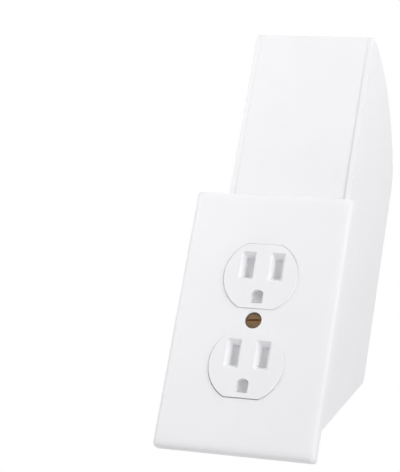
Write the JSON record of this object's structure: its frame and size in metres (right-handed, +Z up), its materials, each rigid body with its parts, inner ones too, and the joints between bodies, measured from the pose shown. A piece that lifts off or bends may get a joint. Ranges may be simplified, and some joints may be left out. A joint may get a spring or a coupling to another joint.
{
  "type": "outlet diversion safe",
  "caption": "Hidden wall safe behind a duplex outlet cover plate, with an open housing in the wall cavity and a centre screw that turns a latch bar.",
  "frame": {"origin": "middle of the cover plate, in the plane where its back rim meets the wall; the object hangs in the wall, so this is the place where it is held", "axes": "+X to the right and +Z up for someone who faces the wall, +Y into the wall"},
  "size_m": [0.0698, 0.0941, 0.2007],
  "materials": {
    "plate_white": "smooth, lightly glossy moulded plastic",
    "receptacle_white": "smooth, lightly glossy moulded plastic",
    "housing_white": "satin moulded plastic",
    "zinc_screw": "bright zinc-plated steel",
    "brass": "dull brass with a dark brown tone",
    "latch_steel": "pressed zinc-plated steel"
  },
  "bodies": {
    "safe": {"face_plate": "plate_white", "receptacle_upper": "receptacle_white", "receptacle_lower": "receptacle_white", "housing_shell": "housing_white", "pocket_front_panel": "housing_white", "compartment_floor": "housing_white", "plate_screw_1": "zinc_screw", "plate_screw_2": "zinc_screw", "plate_screw_3": "zinc_screw", "plate_screw_4": "zinc_screw", "floor_screw_1": "zinc_screw", "floor_screw_2": "zinc_screw"},
    "latch": {"lock_screw": "brass", "wave_washer": "latch_steel", "latch_bar": "latch_steel", "latch_nut": "latch_steel"}
  },
  "joints": [
    {"name": "latch_turn", "type": "hinge", "parent": "safe", "child": "latch", "pos_m": [0, 0, 0], "axis": [0, 1, 0], "range_deg": [0, 90]}
  ]
}
